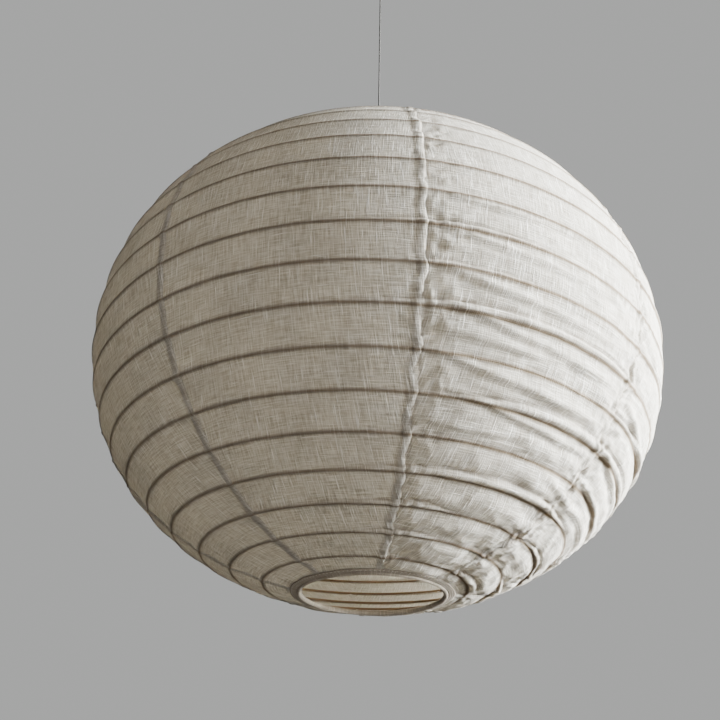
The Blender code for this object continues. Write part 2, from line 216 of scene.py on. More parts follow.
def braided_cord():
    """Dark polyester cord, machine braided: two sets of strands cross round it."""
    made, tree, output = material("braided_cord")
    angle, height, _ = round_the_axis(tree)
    strands, lay = 4, FULL_TURN / (5 * MM)          # strands each way, and turns per metre of one strand
    crossing = []
    for hand in (1, -1):
        along = maths(tree, "MULTIPLY", height, hand * lay)
        phase = maths(tree, "MULTIPLY_ADD", angle, strands, along)
        crossing.append(maths(tree, "SINE", phase))
    depth = add(tree, "ShaderNodeMapRange", {
        "Value": maths(tree, "MAXIMUM", *crossing), "From Min": -1.0, "From Max": 1.0}).outputs[0]
    # The tone is darker in the grooves between strands: painted shade.
    return surfaced(made, tree, output, {
        "Base Color": blend(tree, depth, "#0e0d0d", "#2a2826"), "Roughness": 0.75,
        "Normal": relief(tree, depth, 0.8, 0.2 * MM)})


def split_cane():
    """Split cane, scraped and lightly waxed: brown, with lighter and darker fibres along its length."""
    made, tree, output = material("split_cane")
    angle, height, reach = round_the_axis(tree)
    fibre = 0.5 * MM
    fibres = add(tree, "ShaderNodeCombineXYZ", {
        0: maths(tree, "MULTIPLY", angle, 6.0), 1: maths(tree, "MULTIPLY", height, 1 / fibre),
        2: maths(tree, "MULTIPLY", reach, 1 / fibre)}).outputs[0]
    grain = add(tree, "ShaderNodeTexNoise", {"Vector": fibres, "Scale": 1.0, "Detail": 3.0}).outputs[0]
    return surfaced(made, tree, output, {
        "Base Color": blend(tree, grain, "#5e4830", "#927553"), "Roughness": 0.5,
        "Normal": relief(tree, grain, 0.5, 0.15 * MM), "Coat Weight": 0.1, "Coat Roughness": 0.4})


def floor_paint():
    """Matt pale floor that glows a little, so that it is nearly even."""
    made, tree, output = material("matt_floor")
    place = add(tree, "ShaderNodeTexCoord").outputs["Object"]
    cloud = add(tree, "ShaderNodeTexNoise", {"Vector": place, "Scale": 0.8, "Detail": 2.0}).outputs[0]
    return surfaced(made, tree, output, {
        "Base Color": blend(tree, cloud, "#5a5a58", "#605f5d"), "Roughness": 0.9,
        "Emission Color": linear("#cfcfcb"), "Emission Strength": 1.1})


# ---------------------------------------------------------------- curve of the skin

def meridian_table(step=0.002, reach=1.5):
    """Arc, radius and height of the meridian, walked out from the widest level (lengths in radii)."""
    arcs = np.arange(0, reach + step, step)
    angle = CURVE_LINEAR * arcs + CURVE_CUBIC * arcs ** 3
    middle = (angle[1:] + angle[:-1]) / 2
    radius = 1 - np.concatenate([[0], np.cumsum(np.sin(middle) * step)])
    height = np.concatenate([[0], np.cumsum(np.cos(middle) * step)])
    return arcs, radius, height


ARCS, RADII, HEIGHTS = meridian_table()
RIM_ARC = float(np.interp(-RING_RADIUS / RADIUS, -RADII, ARCS)) * RADIUS
PITCH = 2 * RIM_ARC / TURNS      # arc along the meridian from one turn of the rib to the next


def radius_at(arc):
    return np.interp(np.abs(arc) / RADIUS, ARCS, RADII) * RADIUS


def skin_points(azimuth, arc, lift):
    """Points at an azimuth and arc, lifted out along the normal of the nominal skin."""
    across = np.abs(arc) / RADIUS
    angle = CURVE_LINEAR * across + CURVE_CUBIC * across ** 3
    radius = radius_at(arc) + lift * np.cos(angle)
    height = np.interp(across, ARCS, HEIGHTS) * RADIUS + lift * np.sin(angle)
    return np.stack([radius * np.sin(azimuth), -radius * np.cos(azimuth),
                     EQUATOR_Z - np.sign(arc) * height], axis=-1)


def turns_down(azimuth, arc):
    """Whole numbers are on the rib, and the part after the point runs from one rib to the next one below."""
    return arc / PITCH - (azimuth - RIB_AZIMUTH) / FULL_TURN


# ---------------------------------------------------------------- slack, folds and puckers

def smoothstep(low, high, value):
    share = np.clip((value - low) / (high - low), 0, 1)
    return share * share * (3 - 2 * share)


def noise(x, y, seed):
    """Smooth noise from -1 to 1 on a lattice of unit cells."""
    table = np.random.default_rng(seed).uniform(-1, 1, (256, 256))
    left, low = np.floor(x).astype(int), np.floor(y).astype(int)
    across, along = x - left, y - low
    across, along = across * across * (3 - 2 * across), along * along * (3 - 2 * along)
    corner = [table[(left + i) % 256, (low + j) % 256] for i in (0, 1) for j in (0, 1)]
    near = corner[0] + (corner[1] - corner[0]) * along
    far = corner[2] + (corner[3] - corner[2]) * along
    return near + (far - near) * across


def crumple(x, y, wide, tall, seed):
    """Noise with sharp crests, as in creased cloth."""
    return 0.5 - 1.6 * np.abs(noise(x / wide, y / tall, seed))


# How slack the cloth is, by azimuth in degrees: taut on the left, slack on the right
SLACK = [(-180, .45), (-140, .4), (-100, .25), (-60, .06), (-35, .06), (-5, .22), (5, .4), (12, .75), (30, 1),
         (75, 1), (100, .9), (140, .65), (180, .45)]


def slack_around(azimuth):
    degrees = (np.degrees(azimuth) + 180) % 360 - 180
    return np.interp(degrees, [a for a, _ in SLACK], [s for _, s in SLACK])


def slackness(azimuth, arc):
    """From 0, taut, to 1, slack: the slack has sunk into the lower half."""
    return slack_around(azimuth) * (0.3 + 0.7 * smoothstep(-60 * MM, 110 * MM, arc))


def seam_azimuth(seam, arc):
    """A seam's azimuth down the lantern: it wanders a little, and more where the cloth is slack."""
    base = SEAM_AZIMUTH + seam * FULL_TURN / GORES
    loose = slackness(base, arc)
    wander = (0.6 + 3.2 * loose) * MM * noise(arc / (15 * MM), 0 * arc + seam * 9.7, 5)
    pinned = (0.3 + 1.0 * loose) * MM * np.sin(FULL_TURN * turns_down(base, arc) + seam)
    fade = smoothstep(0, 15 * MM, RIM_ARC - np.abs(arc))
    return base + (wander + pinned) * fade / radius_at(arc)


# Creases given one by one: (azimuth in degrees, arc in mm) along each, then height and width in mm
CREASES = [
    ([(-14, 12), (-9, 19), (-4, 27), (4, 34)], 2.0, 3.0),
    ([(9, 8), (17, 14), (26, 15), (37, 12)], 1.6, 3.0),
    ([(10, 42), (19, 50), (31, 55), (46, 54)], 2.0, 3.2),
    ([(9, 74), (20, 86), (33, 92), (49, 92)], 2.6, 3.6),
    ([(12, 104), (24, 117), (38, 124), (52, 124)], 2.6, 3.4),
    ([(9, 121), (17, 127), (27, 129), (36, 126)], 2.0, 3.0),
    ([(9, 140), (21, 152), (36, 159), (51, 158)], 2.8, 3.6),
    ([(14, 168), (27, 180), (41, 186), (53, 185)], 2.6, 3.4),
    ([(55, 60), (66, 70), (80, 74), (98, 72)], 2.6, 3.6),
    ([(54, 128), (64, 138), (78, 143), (95, 140)], 2.8, 3.6),
    ([(53, 170), (63, 182), (75, 187), (92, 184)], 2.8, 3.6),
    ([(55, 204), (66, 210), (80, 212), (96, 208)], 2.4, 3.2),
    ([(41, 214), (47, 220), (56, 228), (70, 229), (95, 233)], 2.4, 3.5),
    ([(8, 193), (18, 197), (27, 196), (38, 190)], 1.6, 3.0),
]


def crease_lift(azimuth, arc):
    """Each crease is a ridge with a hollow below it, fading out at its two ends."""
    total = 0 * arc
    for corners, high, wide in CREASES:
        line = np.array([(math.radians(a), s * MM) for a, s in corners])
        nearest = np.full(np.shape(arc), 1e9)
        side = 0 * arc
        ends = 0 * arc
        for number, (here, there) in enumerate(zip(line[:-1], line[1:])):
            middle = radius_at(here[1])
            across = (azimuth - here[0]) * middle
            down = arc - here[1]
            run = np.array([(there[0] - here[0]) * middle, there[1] - here[1]])
            share = np.clip((across * run[0] + down * run[1]) / (run @ run), 0, 1)
            gap_x, gap_y = across - share * run[0], down - share * run[1]
            gap = np.hypot(gap_x, gap_y)
            closer = gap < nearest
            nearest = np.where(closer, gap, nearest)
            side = np.where(closer, np.sign(gap_y) * gap, side)
            ends = np.where(closer, (number + share) / (len(line) - 1), ends)
        taper = np.sin(np.pi * np.clip(ends, 0.02, 0.98)) ** 0.5
        wide = wide * MM
        shape = np.exp(-((side + 0.4 * wide) / wide) ** 2) - 0.7 * np.exp(-((side - 0.7 * wide) / wide) ** 2)
        total += np.where(nearest < 4 * wide, high * MM * taper * shape, 0)
    return total


def cloth_lift(azimuth, arc, beside):
    """How far the cloth stands out from the nominal skin, and a painted shade for its tone. beside is the
    distance from the nearest seam.
    """
    turn = turns_down(azimuth, arc)
    share = turn - np.floor(turn)
    spiral = arc / PITCH - share            # runs on along the spiral, the same from either side
    loose = slackness(azimuth, arc)
    to_rib = np.minimum(share, 1 - share) * PITCH

    hang = np.interp(arc / MM, [-330, -120, 60, 150, 330], [-0.8, -0.8, 0.4, 2.2, 3.0])
    bulge = (-1.3 * (1 - loose) + loose * (hang + 1.2 * noise(spiral * 8, 0 * arc, 21))) * MM
    lift = bulge * (4 * share * (1 - share)) ** 0.8
    lift += 0.45 * MM * np.exp(-(to_rib / (1.7 * MM)) ** 2)

    # The slack slides down on to each rib: a roll above it, closed off by a sharp crease
    above = (1 - share) * PITCH
    opening = np.clip(0.34 + 0.95 * noise(spiral * 11, 0 * arc, 31), 0, 1) * loose
    crease = (1.5 + 8.5 * opening) * MM
    within = np.clip(above / crease, 0, 1)
    roll = 0.3 * crease * np.sin(np.pi * within) ** 0.9
    fine = np.exp(-np.abs(above - crease) / (1.0 * MM))
    strength = np.clip(3 * opening, 0, 1)
    lift += strength * (roll - 0.34 * crease * fine)
    # mark is painted shade: the cane's shadow through the cloth along each rib, and the shade at the foot of
    # each sharp crease.
    rib = (0.72 + 0.28 * slack_around(azimuth)) * np.exp(-(to_rib / ((1.5 + 0.6 * loose) * MM)) ** 2)
    rib = np.where(np.abs(arc) < RIM_ARC - RIB_STOP * PITCH, rib, 0)
    mark = np.maximum(rib, 0.55 * strength * fine)

    around = azimuth * radius_at(arc)
    low = smoothstep(4, 8, turn - 1)
    free = np.sqrt(np.clip(4 * share * (1 - share), 0, 1))
    lift += free * 1.3 * MM * loose * noise(around / (36 * MM), arc / (11 * MM), 51)
    broad = crumple(around, arc + 0.2 * around, 24 * MM, 12 * MM, 61)
    lift += free * (0.5 + 0.7 * low) * 1.3 * MM * loose * broad
    lift += 0.6 * MM * loose * crumple(around + 0.6 * arc, arc, 12 * MM, 6 * MM, 63)
    lift += crease_lift(azimuth, arc)

    crumpled = slack_around(azimuth) * np.exp(-np.abs(beside) / (22 * MM)) * np.where(beside > 0, 1.3, 0.8)
    lift += 2.6 * MM * free * crumpled * crumple(beside, arc + 0.4 * beside, 10 * MM, 7 * MM, 77)
    near = np.exp(-np.abs(beside) / ((5 + 6 * loose) * MM))
    slanted = arc + 0.5 * np.abs(beside)
    lift += (0.25 + 0.75 * loose) * MM * near * noise(slanted / (5 * MM), 0 * arc + azimuth // 0.3, 71)
    lift -= (0.4 + 0.8 * loose) * MM * np.exp(-(beside / (11 * MM)) ** 2) * 4 * share * (1 - share)
    lift -= 0.9 * MM * loose * np.exp(-(beside / (1.2 * MM)) ** 2)
    # Painted shade in the groove along the slack seams, added to mark.
    sewn = np.exp(-((beside + 0.8 * MM) / (1.6 * MM)) ** 2)
    mark = np.maximum(mark, 0.95 * smoothstep(0.3, 0.9, slack_around(azimuth)) * sewn)
    return lift * smoothstep(5 * MM, 16 * MM, RIM_ARC - np.abs(arc)), mark


def strip_lift(beside, arc, seam, layers):
    """The extra height of a cloth with this many allowances under it, on the left of a seam, and a painted
    shade over that strip.
    """
    left = -beside
    over = smoothstep(-0.2 * MM, 2.0 * MM, left) * (1 - smoothstep(ALLOWANCE, ALLOWANCE + 2.5 * MM, left))
    loose = slackness(SEAM_AZIMUTH + seam * FULL_TURN / GORES, arc)
    gathered = (0.1 + 0.9 * loose) * (0.5 + 0.5 * noise(arc / (3.4 * MM), 0 * arc + 5.3 * seam, 81))
    ridge = np.exp(-((left - 1.8 * MM) / (1.4 * MM)) ** 2)
    # The second value is painted shade over the allowance strip.
    return layers * (LAYER * over + 0.4 * MM * gathered * ridge), 0.08 * over


# ---------------------------------------------------------------- cloth pieces

def close_up(mesh):
    """Merges doubled points and turns all faces outwards."""
    work = bmesh.new()
    work.from_mesh(mesh)
    bmesh.ops.remove_doubles(work, verts=work.verts, dist=1e-6)
    bmesh.ops.recalc_face_normals(work, faces=work.faces)
    work.to_mesh(mesh)
    work.free()


def grid_shell(name, points, thickness, finish, flat=None, marks=None, closed_round=False):
    """A closed thin shell round a grid of points [column, row], whose faces point outwards.

    flat holds each grid point's place on the flat cloth, in metres. marks are named values at each point.
    """
    columns, rows = points.shape[:2]
    if closed_round:
        across = np.roll(points, -1, 0) - np.roll(points, 1, 0)
    else:
        across = np.gradient(points, axis=0)
    down = np.gradient(points, axis=1)
    normal = np.cross(down, across)
    normal /= np.maximum(np.linalg.norm(normal, axis=-1, keepdims=True), 1e-12)
    both = np.concatenate([(points + normal * thickness / 2).reshape(-1, 3),
                           (points - normal * thickness / 2).reshape(-1, 3)])
    number = np.arange(columns * rows).reshape(columns, rows)
    after = np.roll(number, -1, 0)
    inner = columns * rows
    last = columns if closed_round else columns - 1
    a, b = number[:last, :-1].ravel(), number[:last, 1:].ravel()
    c, d = after[:last, 1:].ravel(), after[:last, :-1].ravel()
    faces = [np.stack([a, b, c, d], 1), np.stack([a, d, c, b], 1) + inner]
    for row, order in ((0, (1, 0)), (rows - 1, (0, 1))):
        edge = np.stack([number[:last, row], after[:last, row]], 1)[:, order]
        faces.append(np.concatenate([edge, edge[:, ::-1] + inner], 1))
    if not closed_round:
        for column, order in ((0, (0, 1)), (columns - 1, (1, 0))):
            edge = np.stack([number[column, :-1], number[column, 1:]], 1)[:, order]
            faces.append(np.concatenate([edge[:, ::-1], edge + inner], 1))
    faces = np.concatenate(faces)
    mesh = bpy.data.meshes.new(name)
    mesh.vertices.add(len(both))
    mesh.vertices.foreach_set("co", both.astype(np.float32).ravel())
    mesh.loops.add(faces.size)
    mesh.loops.foreach_set("vertex_index", faces.astype(np.int32).ravel())
    mesh.polygons.add(len(faces))
    mesh.polygons.foreach_set("loop_start", np.arange(0, faces.size, 4, dtype=np.int32))
    mesh.polygons.foreach_set("use_smooth", np.ones(len(faces), bool))
    mesh.update(calc_edges=True)
    mesh.validate()
    if flat is not None:
        layer = mesh.uv_layers.new(name="flat")
        places = np.tile(flat.reshape(-1, 2), (2, 1))[faces.ravel()]
        layer.data.foreach_set("uv", places.astype(np.float32).ravel())
    for key, values in (marks or {}).items():
        mark = mesh.attributes.new(key, "FLOAT", "POINT")
        mark.data.foreach_set("value", np.tile(values.ravel(), 2).astype(np.float32))
    close_up(mesh)
    mesh.materials.append(finish)
    made = bpy.data.objects.new(name, mesh)
    bpy.context.scene.collection.objects.link(made)
    return made


def placed(piece, body, node):
    """Puts a piece on its body, in place of its plain node."""
    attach(piece, body)
    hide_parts(node)
    return piece


def folds(piece):
    """Gives the piece a mesh of its own."""
    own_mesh(piece)
    return piece


def select(*pieces):
    """Selects these pieces only, the first one active, or none."""
    bpy.ops.object.select_all(action="DESELECT")
    for piece in pieces:
        piece.select_set(True)
    if pieces:
        bpy.context.view_layer.objects.active = pieces[0]


def object_mode():
    bpy.ops.object.mode_set(mode="OBJECT")


def extrude(move):
    """Draws the selected faces out."""
    bpy.ops.mesh.extrude_region_move(TRANSFORM_OT_translate={"value": move})


def bevel(offset, segments):
    bpy.ops.mesh.bevel(offset=offset, segments=segments, affect="EDGES")


BAND_ROWS = [0, .03, .06, .1, .15, .21, .28, .36, .44, .52, .6, .67, .73, .78, .82, .86, .9, .935, .965]
COLUMNS_TAUT, COLUMNS_SLACK = 64, 104
EDGE_DENSITY = 0.55              # how much closer the columns are next to the seams


def gore_arcs(middle):
    """Arcs of a gore's rows on its middle line, closest together over each rib."""
    end = RIM_ARC - CLOTH_START
    first = PITCH * (middle - RIB_AZIMUTH) / FULL_TURN
    arcs = [first + PITCH * (turn + part) for turn in range(-TURNS, TURNS) for part in BAND_ROWS]
    arcs = [arc for arc in arcs if abs(arc) < end - 0.5 * MM]
    return np.array([-end] + arcs + [end])


def gore_piece(index, finish):
    """One gore with its seam allowances: the left one lies under its neighbour, the right one folds back."""
    width = FULL_TURN / GORES
    middle = SEAM_AZIMUTH + (index + 0.5) * width
    arcs = gore_arcs(middle)
    even = np.linspace(0, 1, COLUMNS_SLACK if slackness(middle, 0.0) > 0.6 else COLUMNS_TAUT)
    shares = even - EDGE_DENSITY * np.sin(FULL_TURN * even) / FULL_TURN

    # Each column: share across the gore, distance past its seam, and which layer it is in
    steps = np.array([ALLOWANCE, 0.75 * ALLOWANCE, 0.5 * ALLOWANCE, 0.25 * ALLOWANCE, 0.8 * MM])
    columns = [(0.0, -step, "under") for step in steps]
    columns += [(share, 0.0, "main") for share in shares]
    columns += [(1.0, -step, "folded") for step in steps[::-1]]

    drop = smoothstep(8 * MM, 24 * MM, RIM_ARC - np.abs(arcs))
    left, right = seam_azimuth(index, arcs), seam_azimuth(index + 1, arcs)
    points, flats, marks = [], [], []
    for share, past, layer in columns:
        base = left + (right - left) * share
        azimuth = base + past / radius_at(arcs)
        arc = arcs + PITCH * (azimuth - middle) / FULL_TURN * drop
        radius = radius_at(arc)
        from_left, from_right = (azimuth - left) * radius, (azimuth - right) * radius
        beside = np.where(np.abs(from_left) < np.abs(from_right), from_left, from_right)
        lift, mark = cloth_lift(azimuth, arc, beside)
        rim = 0.35 + 0.65 * smoothstep(2 * MM, 12 * MM, RIM_ARC - np.abs(arc))
        if layer != "under" and share > 0.5:
            # The second value is painted shade over the allowance strip, added to mark.
            raised, strip_shade = strip_lift(from_right, arc, index + 1, 2 if layer == "main" else 1)
            lift = lift + raised * rim
            mark = np.maximum(mark, strip_shade)
        points.append(skin_points(azimuth, arc, lift))
        marks.append(mark)
        across = (base - middle) * radius + {"under": past, "main": 0.0, "folded": -past}[layer]
        flats.append(np.stack([across + index * 0.31, arc], axis=-1))
    piece = grid_shell(f"linen_gore_{index + 1}", np.array(points), LINEN_THICK, finish,
                       np.array(flats), {"rib": np.array(marks)})
    folds(placed(piece, "shade", f"gore_{index + 1}"))


# ---------------------------------------------------------------- rib and hems

def wire_piece(name, points, radius, finish, sides=12):
    """A round wire along a list of points, as a mesh."""
    curve = bpy.data.curves.new(name, "CURVE")
    curve.dimensions = "3D"
    curve.bevel_depth = radius
    curve.bevel_resolution = (sides - 4) // 2
    curve.use_fill_caps = True
    spline = curve.splines.new("POLY")
    spline.points.add(len(points) - 1)
    for point, where in zip(spline.points, points):
        point.co = (*where, 1.0)
    spline.use_smooth = True
    made = bpy.data.objects.new(name, curve)
    bpy.context.scene.collection.objects.link(made)
    select(made)
    bpy.ops.object.convert(target="MESH")
    close_up(made.data)
    made.data.materials.clear()
    made.data.materials.append(finish)
    return made


def cane_rib(finish):
    """The spiral rib, just inside the cloth."""
    limit = RIM_ARC - RIB_STOP * PITCH
    step = math.radians(1.25)
    azimuths = np.arange(-TURNS * math.pi * 1.2, TURNS * math.pi * 1.2, step)
    arcs = PITCH * (azimuths - RIB_AZIMUTH) / FULL_TURN
    keep = np.abs(arcs) <= limit
    azimuths, arcs = azimuths[keep], arcs[keep]
    points = skin_points(azimuths, arcs, np.full(len(arcs), -CANE_INSET + 0.2 * MM))
    piece = wire_piece("cane_rib", [tuple(p) for p in points], CANE_RADIUS, finish, sides=8)
    folds(placed(piece, "shade", "spiral_rib"))


HEM_AROUND = 2.15 * MM           # middle of the hem's cloth, from the ring's centre
HEM_LIP = 1.05 * MM              # and from the middle of the gores
HEM_REACH = 8.5 * MM
HEM_THICK = 0.6 * MM
HEM_COLUMNS = 288


def hem_axes(side):
    """Ring centre, direction along the gore and outward normal at the bottom (+1) or top (-1) rim."""
    inner_arc = side * (RIM_ARC - HEM_REACH)
    inner = np.array([float(radius_at(inner_arc)), float(skin_points(0.0, inner_arc, 0.0)[2])])
    centre = np.array([RING_RADIUS, EQUATOR_Z - side * (RING_TOP - RING_BOTTOM) / 2])
    along = (inner - centre) / np.linalg.norm(inner - centre)
    return centre, along, np.array([-along[1], along[0]]) * -side


def hem_strip(name, path, side, finish):
    """A closed strip all round a rim, from its path in (distance along the gore, distance off the gore)."""
    centre, along, normal = hem_axes(side)
    run = np.concatenate([[0], np.cumsum(np.hypot(*np.diff(path, axis=0).T))])
    points, flats = [], []
    for column in range(HEM_COLUMNS):
        azimuth = SEAM_AZIMUTH + FULL_TURN * column / HEM_COLUMNS
        wobble = 1 + 0.05 * noise(np.array(azimuth * 9), np.array(side * 3.0), 91)
        far = np.where(path[:, 0] > HEM_AROUND, wobble, 1.0)
        place = centre + np.outer(path[:, 0] * far, along) + np.outer(path[:, 1], normal)
        out, up = place.T
        points.append(np.stack([out * math.sin(azimuth), -out * math.cos(azimuth), up], axis=-1))
        flats.append(np.stack([np.full(len(run), azimuth * RING_RADIUS), run], axis=-1))
    points = np.array(points)
    strip = grid_shell(name, points, HEM_THICK, finish, np.array(flats),
                       {"rib": np.zeros(points.shape[:2])}, True)
    return strip, float(run[-1])


def hem_pieces(place, body, side, finish):
    """The hem: cloth wrapped round the ring, and two lips on the gores' two faces."""
    node, ring = f"{place}_binding", f"ring_{'upper' if side < 0 else 'lower'}"
    start = math.asin(HEM_LIP / HEM_AROUND)
    turns = np.linspace(start, FULL_TURN - start, 18)
    wrap = HEM_AROUND * np.stack([np.cos(turns), np.sin(turns)], axis=1)
    # The inner lip starts past the ring's wire, so that it lies beside the wire when the lantern is flat
    slope_out, slope_up = np.abs(hem_axes(side)[1])
    clear = (RING_WIRE + HEM_THICK + HEM_LIP * slope_up) / slope_out
    edge = math.cos(start) * HEM_AROUND
    hidden = np.linspace(edge, clear, 5)[1:]
    wrap = np.vstack([wrap, np.stack([hidden, np.full(len(hidden), -HEM_LIP)], axis=1)])
    piece, width = hem_strip(f"{place}_hem", wrap, side, finish)
    placed(piece, body, node)

    strips = []
    for face, near in ((1, edge), (-1, clear)):
        reach = np.linspace(near + 0.02 * MM, HEM_REACH, 7)
        path = np.stack([reach, np.full(len(reach), face * HEM_LIP)], axis=1)
        strips.append(hem_strip(f"{place}_hem_lips", path[::face], side, finish))
    lips, width = strips[0]
    select(*(strip for strip, _ in strips))
    bpy.ops.object.join()
    folds(placed(lips, "shade", node))


STITCHES = 120                   # round each hem
STITCH_LENGTH = 2.4 * MM
STITCH_THICK = 0.5 * MM
STITCH_INSET = 1.8 * MM          # from the lip's edge


def hem_stitches(place, side, finish):
    """A row of thread on the hem's outer lip, assumed: one stitch, copied round."""
    centre, along, normal = hem_axes(side)
    row = centre + along * (HEM_REACH - STITCH_INSET) + normal * (HEM_LIP + HEM_THICK / 2)
    select()
    bpy.ops.mesh.primitive_uv_sphere_add(segments=8, ring_count=6, radius=0.5)
    first = started(f"{place}_hem_stitches", finish)
    pick(first, "EDGE", lambda a, b: max(abs(a.x), abs(b.x)) > 0.3)
    bpy.ops.transform.translate(value=(0, 0, -0.25))
    object_mode()
    shape = first.data.copy()
    copies = [first]
    for number in range(STITCHES):
        turn = FULL_TURN * (number + 0.5) / STITCHES
        out = Vector((math.sin(turn), -math.cos(turn), 0))
        round_about = Vector((math.cos(turn), math.sin(turn), 0))
        inward = out * along[0] + Vector((0, 0, along[1]))
        up = out * normal[0] + Vector((0, 0, normal[1]))
        sides = (round_about * STITCH_LENGTH, inward * STITCH_THICK, up * STITCH_THICK)
        basis = Matrix(sides).transposed().to_4x4()
        basis.translation = out * row[0] + Vector((0, 0, row[1]))
        if number:
            copies.append(first.copy())
            copies[-1].data = shape.copy()
            bpy.context.scene.collection.objects.link(copies[-1])
        copies[-1].data.transform(basis)
    select(*copies)
    bpy.ops.object.join()
    bpy.ops.object.shade_smooth_by_angle(angle=math.radians(60))
    close_up(first.data)
    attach(first, "shade")
    folds(first)


# ---------------------------------------------------------------- line

LINE_RADIUS = 1.0 * MM
LINE_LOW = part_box("suspension_line")[0].z
LINE_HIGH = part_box("suspension_line")[1].z
LINE_POINTS = 66


def line_piece(finish):
    """The braided line, straight from one crimped eye to the other."""
    span = LINE_HIGH - LINE_LOW
    route = [(0, 0, LINE_LOW + span * step / (LINE_POINTS - 1)) for step in range(LINE_POINTS)]
    piece = wire_piece("braided_line", route, LINE_RADIUS, finish, sides=12)
    placed(piece, "line", "suspension_line")


# ---------------------------------------------------------------- metal and painted parts

CLEAR = 0.3 * MM                 # gap between touching parts

PLATE_RADIUS = 22 * MM
PLATE_THICK = 4 * MM
CEILING_WIRE = 2.0 * MM
CEILING_BEND = 9 * MM
CEILING_FILLET = 4 * MM
CEILING_STRAIGHT = 12 * MM       # level where the hook's shank starts to bend
STUD_BORE = 2.5 * MM
SCREW_X = 14 * MM
SCREW_RADIUS = 1.9 * MM
SCREW_HEAD = 4.0 * MM
SCREW_HEAD_THICK = 2.4 * MM
SCREW_TIP = 22 * MM
THREAD_PITCH = 1.6 * MM

BAR_WIRE = 1.5 * MM
BAR_LEG_X = 64.5 * MM
BAR_HUMP = 28 * MM               # top of the hump above the top ring
BAR_SHOULDER = 12 * MM
BAR_FOOT_X = 71.5 * MM
BAR_FOOT_Z = -4.3 * MM
HOOK_WIRE = 1.5 * MM
HOOK_BEND = 6 * MM

EYE_WIRE = 1.2 * MM
EYE_BEND = 5 * MM
BARREL_RADIUS = 2.2 * MM
BARREL_LENGTH = 14 * MM


def started(name, finish):
    """Names the primitive just added, puts its place in its mesh and gives it its finish."""
    piece = bpy.context.object
    piece.name = name
    piece.data.name = name
    bpy.ops.object.transform_apply(location=True, rotation=True, scale=True)
    piece.data.materials.clear()
    piece.data.materials.append(finish)
    return piece


def pick(piece, kind, wanted):
    """Edit mode on a piece, with only the wanted faces, edges or vertices selected."""
    bpy.context.view_layer.objects.active = piece
    bpy.ops.object.mode_set(mode="EDIT")
    bpy.ops.mesh.select_mode(type=kind)
    bpy.ops.mesh.select_all(action="DESELECT")
    object_mode()
    mesh = piece.data
    if kind == "FACE":
        for face in mesh.polygons:
            face.select = wanted(face)
    else:
        for edge in mesh.edges:
            edge.select = wanted(mesh.vertices[edge.vertices[0]].co, mesh.vertices[edge.vertices[1]].co)
    bpy.ops.object.mode_set(mode="EDIT")


def finished(piece, body, node, angle=35):
    """Leaves edit mode, shades the piece and puts it on its body in place of its plain node."""
    if bpy.context.object and bpy.context.object.mode == "EDIT":
        object_mode()
    select(piece)
    bpy.ops.object.shade_smooth_by_angle(angle=math.radians(angle))
    return placed(piece, body, node)


def cut(piece, tool, operation="DIFFERENCE"):
    """Cuts or joins a piece with another closed body, which is then gone."""
    change = piece.modifiers.new("cut", "BOOLEAN")
    change.operation = operation
    change.object = tool
    select(piece)
    bpy.ops.object.modifier_apply(modifier=change.name)
    bpy.data.objects.remove(tool, do_unlink=True)


def upright(radius, low, high, x=0.0, sides=32, name="round_bar", finish=None):
    """An upright round bar between two heights."""
    select()
    bpy.ops.mesh.primitive_cylinder_add(
        vertices=sides, radius=radius, depth=high - low, location=(x, 0, (low + high) / 2))
    return started(name, finish)


def bent_wire(name, start, toward, radius, moves, finish, sides=20):
    """A wire bent as by hand: the end face of a short stub is drawn out straight or spun round each bend.

    moves are ("run", length), ("collar", times wider, length) and ("bend", centre, axis, degrees).
    """
    toward = Vector(toward).normalized()
    stub = radius
    select()
    bpy.ops.mesh.primitive_cylinder_add(
        vertices=sides, radius=radius, depth=stub, location=Vector(start) - toward * stub / 2,
        rotation=toward.to_track_quat("Z", "Y").to_euler())
    piece = started(name, finish)
    pick(piece, "FACE", lambda face: face.normal.dot(toward) > 0.99)
    end = Vector(start)
    for move in moves:
        if move[0] == "run":
            end = end + toward * move[1]
            extrude(toward * move[1])
        elif move[0] == "collar":
            for scale, length in ((move[1], 0.0), (1.0, move[2]), (1 / move[1], 0.0)):
                end = end + toward * length
                extrude(toward * length)
                bpy.ops.transform.resize(value=(scale,) * 3, center_override=end)
        else:
            centre, axis, degrees = Vector(move[1]), Vector(move[2]), move[3]
            turn = Matrix.Rotation(math.radians(degrees), 3, axis)
            bpy.ops.mesh.spin(steps=max(4, round(abs(degrees) / 8)), angle=math.radians(degrees),
                              center=centre, axis=-axis)
            toward, end = turn @ toward, centre + turn @ (end - centre)
    pick(piece, "FACE", lambda face: len(face.vertices) == sides)
    bevel(0.45 * radius, 3)
    object_mode()
    return piece


